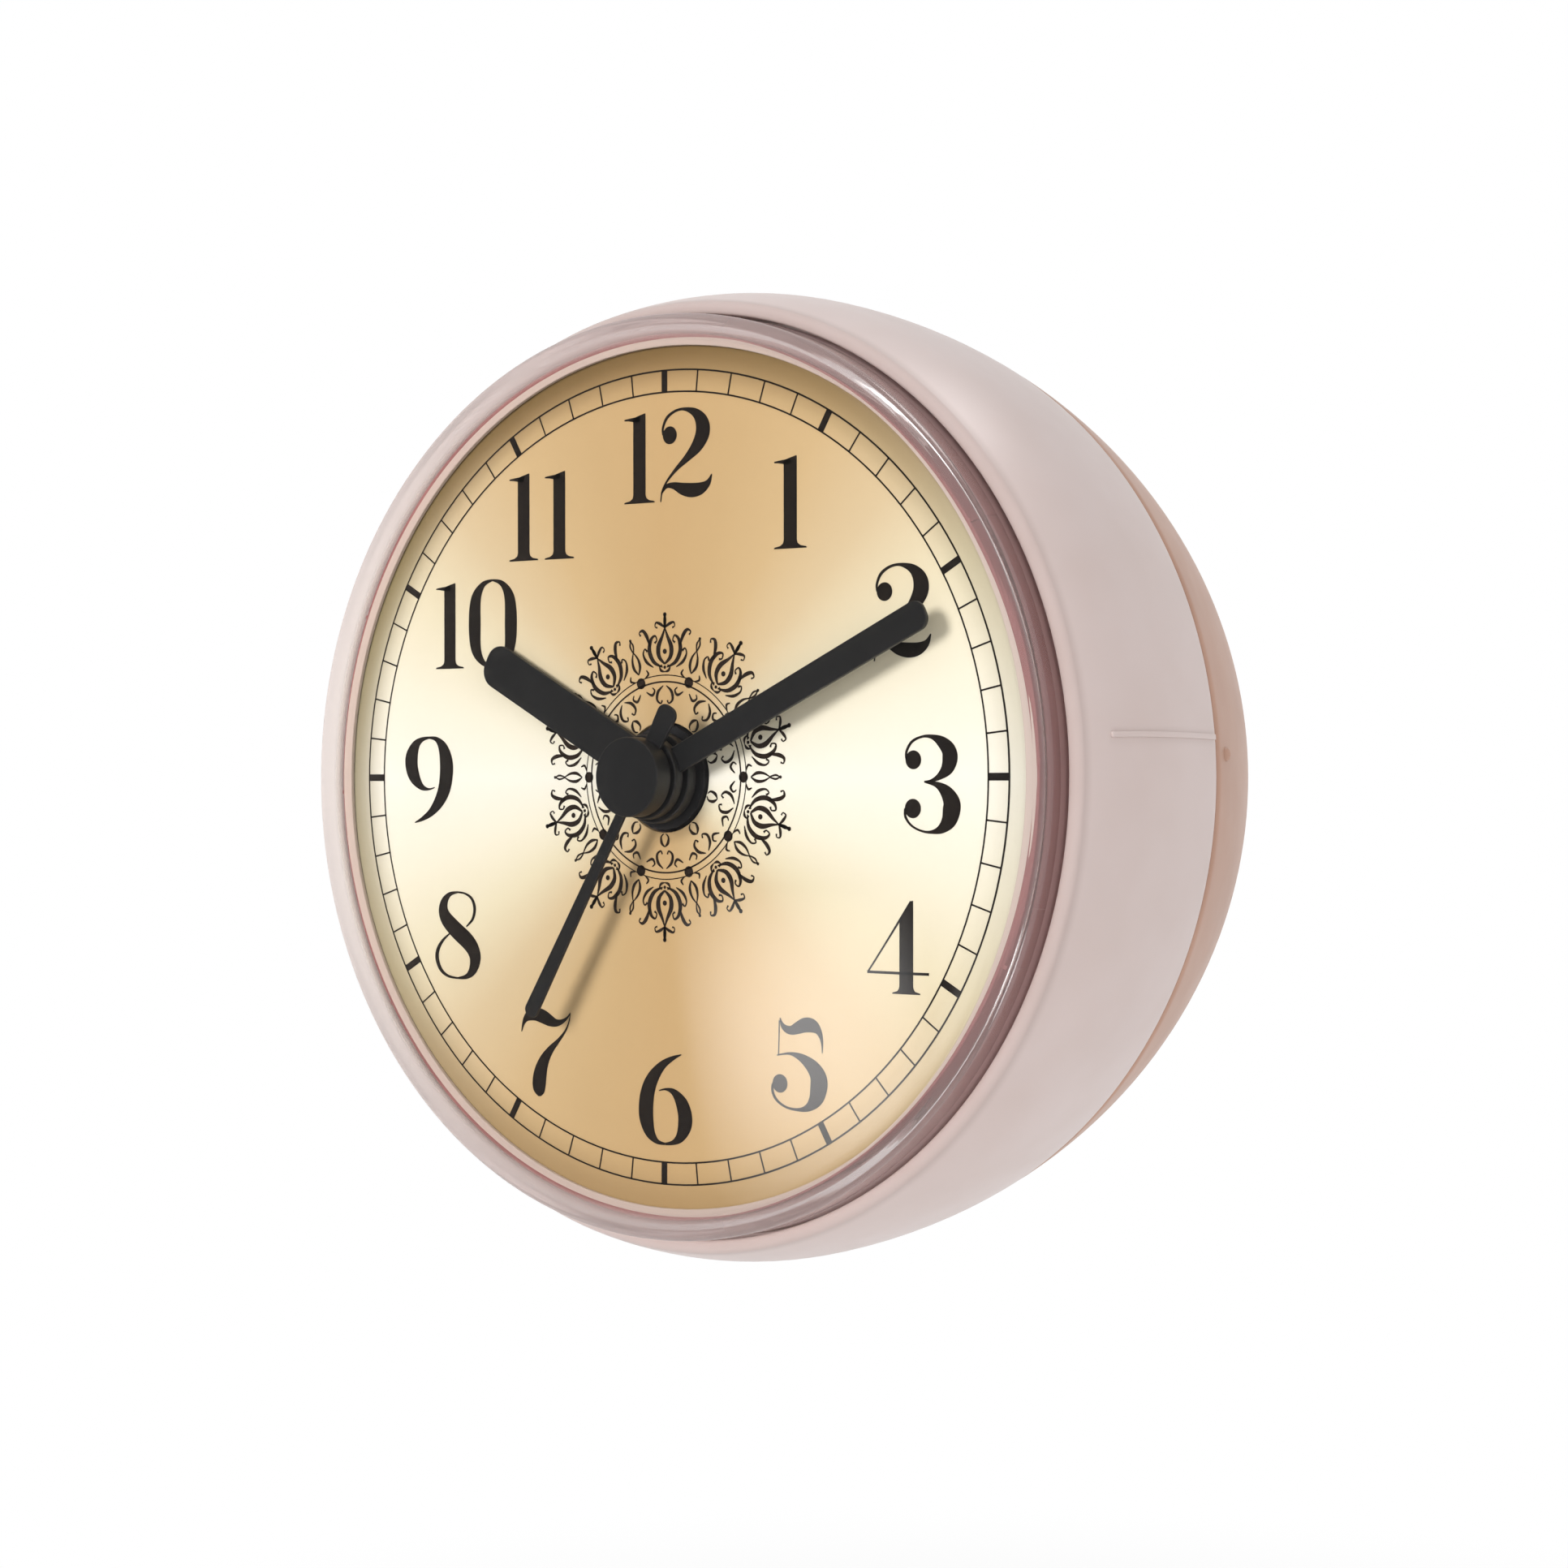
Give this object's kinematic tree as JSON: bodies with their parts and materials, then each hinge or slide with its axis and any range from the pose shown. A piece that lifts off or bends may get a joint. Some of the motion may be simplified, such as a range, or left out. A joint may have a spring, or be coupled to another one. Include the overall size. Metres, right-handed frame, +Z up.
{
  "type": "shower clock",
  "caption": "Small round waterproof wall clock with a domed clear cap, gold numeral dial, pale pink barrel body, domed tan rear cover and a suction cup behind.",
  "frame": {"origin": "centre of the suction cup's lip plane, the point where the clock's axis meets the wall", "axes": "-Y is the way the dial faces, along the hand axis; +Y points into the wall; +Z is up through twelve o'clock; +X is three o'clock"},
  "size_m": [0.0755, 0.0525, 0.0754],
  "materials": {
    "shell_pink": "satin moulded ABS, pale pink",
    "cover_tan": "satin moulded ABS, tan pink",
    "clear_cap": "clear polished polystyrene",
    "silicone": "white silicone",
    "ring_plum": "dusty plum moulding",
    "dial_gold": "sunburst gold, printed in black",
    "hand_black": "matt black paint",
    "movement_black": "fine textured moulding",
    "wheel_white": "natural acetal",
    "bright_steel": "bright steel",
    "copper_wire": "enamelled copper wire",
    "board_green": "solder mask",
    "cell_jacket": "plain printed jacket, no text",
    "cup_clear": "clear soft vinyl"
  },
  "bodies": {
    "cup": {"suction_cup": "cup_clear"},
    "cover": {"rear_cover": "cover_tan", "rear_gasket": "silicone"},
    "case": {"body_shell": "shell_pink", "front_lens": "clear_cap", "lens_gasket": "silicone", "dial_ring": "ring_plum", "dial_plate": "dial_gold", "movement_base": "movement_black", "movement_cover": "movement_black", "middle_plate": "wheel_white", "stator": "bright_steel", "coil_bobbin": "wheel_white", "coil_winding": "copper_wire", "circuit_board": "board_green", "quartz_crystal": "bright_steel", "chip_blob": "movement_black", "battery_cell": "cell_jacket", "contact_positive": "bright_steel", "contact_negative": "bright_steel", "movement_screw_1": "bright_steel", "movement_screw_2": "bright_steel", "case_screw_1": "bright_steel", "case_screw_2": "bright_steel", "case_screw_3": "bright_steel", "case_screw_4": "bright_steel"},
    "second": {"second_hand": "hand_black", "second_wheel": "wheel_white"},
    "minute": {"minute_hand": "hand_black", "minute_arbor": "wheel_white", "centre_wheel": "wheel_white"},
    "hour": {"hour_hand": "hand_black", "hour_wheel": "wheel_white"},
    "third": {"third_wheel": "wheel_white"},
    "fifth": {"fifth_wheel": "wheel_white"},
    "magnet": {"rotor": "bright_steel"},
    "motion": {"motion_wheel": "wheel_white"},
    "knob": {"setting_knob": "wheel_white"}
  },
  "joints": [
    {"name": "cup_swivel", "type": "hinge", "parent": "cup", "child": "cover", "pos_m": [0, -0.046, 0], "axis": [0, 1, 0], "continuous": true},
    {"name": "bayonet_twist", "type": "hinge", "parent": "cover", "child": "case", "pos_m": [0, -0.046, 0], "axis": [0, -1, 0], "range_deg": [0, 35]},
    {"name": "second_spin", "type": "hinge", "parent": "case", "child": "second", "pos_m": [0, -0.046, 0], "axis": [0, 1, 0], "continuous": true},
    {"name": "minute_spin", "type": "hinge", "parent": "case", "child": "minute", "pos_m": [0, -0.046, 0], "axis": [0, 1, 0], "continuous": true},
    {"name": "hour_spin", "type": "hinge", "parent": "case", "child": "hour", "pos_m": [0, -0.046, 0], "axis": [0, 1, 0], "continuous": true},
    {"name": "third_spin", "type": "hinge", "parent": "case", "child": "third", "pos_m": [0.00627, -0.046, 0.00362], "axis": [0, 1, 0], "continuous": true},
    {"name": "fifth_spin", "type": "hinge", "parent": "case", "child": "fifth", "pos_m": [-0.00098, -0.046, 0.00555], "axis": [0, 1, 0], "continuous": true},
    {"name": "rotor_spin", "type": "hinge", "parent": "case", "child": "magnet", "pos_m": [-0.00409, -0.046, 0.00926], "axis": [0, 1, 0], "continuous": true},
    {"name": "motion_spin", "type": "hinge", "parent": "case", "child": "motion", "pos_m": [-0.00724, -0.046, 0], "axis": [0, 1, 0], "continuous": true},
    {"name": "knob_spin", "type": "hinge", "parent": "case", "child": "knob", "pos_m": [-0.01404, -0.046, -0.00248], "axis": [0, 1, 0], "continuous": true}
  ],
  "couplings": [
    {"joint": "minute_spin", "follows": "second_spin", "ratio": 0.016667},
    {"joint": "hour_spin", "follows": "second_spin", "ratio": 0.0013889},
    {"joint": "third_spin", "follows": "second_spin", "ratio": -0.13333},
    {"joint": "fifth_spin", "follows": "second_spin", "ratio": -6},
    {"joint": "rotor_spin", "follows": "second_spin", "ratio": 30},
    {"joint": "motion_spin", "follows": "second_spin", "ratio": -0.0055556},
    {"joint": "knob_spin", "follows": "second_spin", "ratio": 0.016667}
  ]
}
